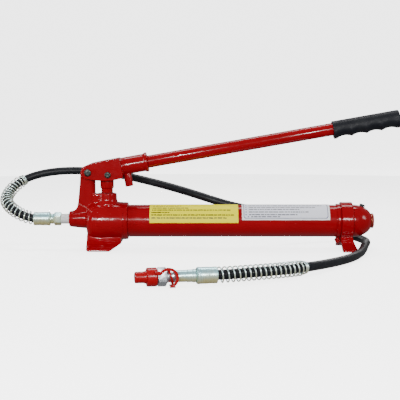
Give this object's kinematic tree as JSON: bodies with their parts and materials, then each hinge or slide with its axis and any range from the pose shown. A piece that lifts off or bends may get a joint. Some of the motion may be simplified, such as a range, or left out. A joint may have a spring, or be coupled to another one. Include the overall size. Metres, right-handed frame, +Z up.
{
  "type": "hydraulic hand pump",
  "caption": "Red single-stage hydraulic hand pump: cylindrical reservoir on two feet, hand lever with rubber grip, black hose with spring guards and a capped quick coupler.",
  "frame": {"origin": "middle of the head foot's flat underside, on the surface the pump stands on", "axes": "+X along the reservoir from the pump head towards the rear end cap, +Y to the release-valve side, +Z up"},
  "size_m": [0.7192, 0.5108, 0.2464],
  "materials": {
    "red_paint": "gloss",
    "steel": "machined",
    "black_steel": "black oxide, satin",
    "ball_steel": "polished",
    "zinc": "zinc plated, bright",
    "spring_steel": "zinc plated wire",
    "rubber": "satin",
    "seal": "satin",
    "copper": "bright",
    "brass": "satin",
    "red_plastic": "gloss",
    "black_plastic": "satin",
    "label_yellow": "satin printed film",
    "label_white": "satin printed film",
    "tape": "soft white film"
  },
  "bodies": {
    "pump_body": {"clamp_nut": "red_paint", "clamp_screw": "red_paint", "dust_cap": "red_plastic", "dust_cap_strap": "red_plastic", "end_cap": "red_paint", "end_plug": "red_paint", "end_plug_washer": "copper", "ferrule_coupler": "zinc", "ferrule_pump": "zinc", "filler_washer": "seal", "gland_nut": "red_paint", "hose": "rubber", "hose_end_coupler": "zinc", "hose_end_pump": "zinc", "intake_ball": "ball_steel", "intake_seat": "steel", "outlet_ball": "ball_steel", "outlet_spring": "steel", "plunger_seal": "seal", "plunger_wiper": "seal", "pump_head": "red_paint", "quick_coupler": "steel", "rating_label": "label_white", "rear_foot": "red_paint", "release_ball": "ball_steel", "relief_ball": "ball_steel", "relief_screw": "black_steel", "relief_spring": "steel", "reservoir_tube": "red_paint", "spring_guard_coupler": "spring_steel", "spring_guard_pump": "spring_steel", "suction_strainer": "brass", "suction_tube": "zinc", "thread_tape": "tape", "tie_rod": "steel", "tube_clamp": "red_paint", "tube_gasket_front": "seal", "tube_gasket_rear": "seal", "warning_label": "label_yellow"},
    "lever": {"handle_socket": "red_paint", "handle_tube": "red_paint", "handle_grip": "rubber", "fulcrum_pin": "black_steel", "plunger_pin": "black_steel", "fulcrum_pin_clip": "steel", "plunger_pin_clip": "steel", "socket_lock_peg": "red_paint"},
    "plunger": {"plunger": "red_paint"},
    "release_valve": {"release_stem": "steel", "release_knob": "black_steel", "release_o_ring": "seal"},
    "filler_plug": {"filler_plug": "black_plastic"}
  },
  "joints": [
    {"name": "lever_pivot", "type": "hinge", "parent": "pump_body", "child": "lever", "pos_m": [-0.0195, 0, 0.1365], "axis": [0, -1, 0], "range_deg": [-12, 38]},
    {"name": "plunger_slide", "type": "slide", "parent": "pump_body", "child": "plunger", "axis": [0, 0, 1], "range_m": [-0.0076, 0.0232]},
    {"name": "release_turn", "type": "hinge", "parent": "pump_body", "child": "release_valve", "pos_m": [-0.0135, 0, 0.0535], "axis": [0, 1, 0], "range_deg": [0, 360]},
    {"name": "filler_turn", "type": "hinge", "parent": "pump_body", "child": "filler_plug", "pos_m": [0.4648, 0, 0.0757], "axis": [0.3665, 0, 0.9304], "range_deg": [0, 360]}
  ],
  "couplings": [
    {"joint": "plunger_slide", "follows": "lever_pivot", "m_per_rad": 0.034}
  ]
}
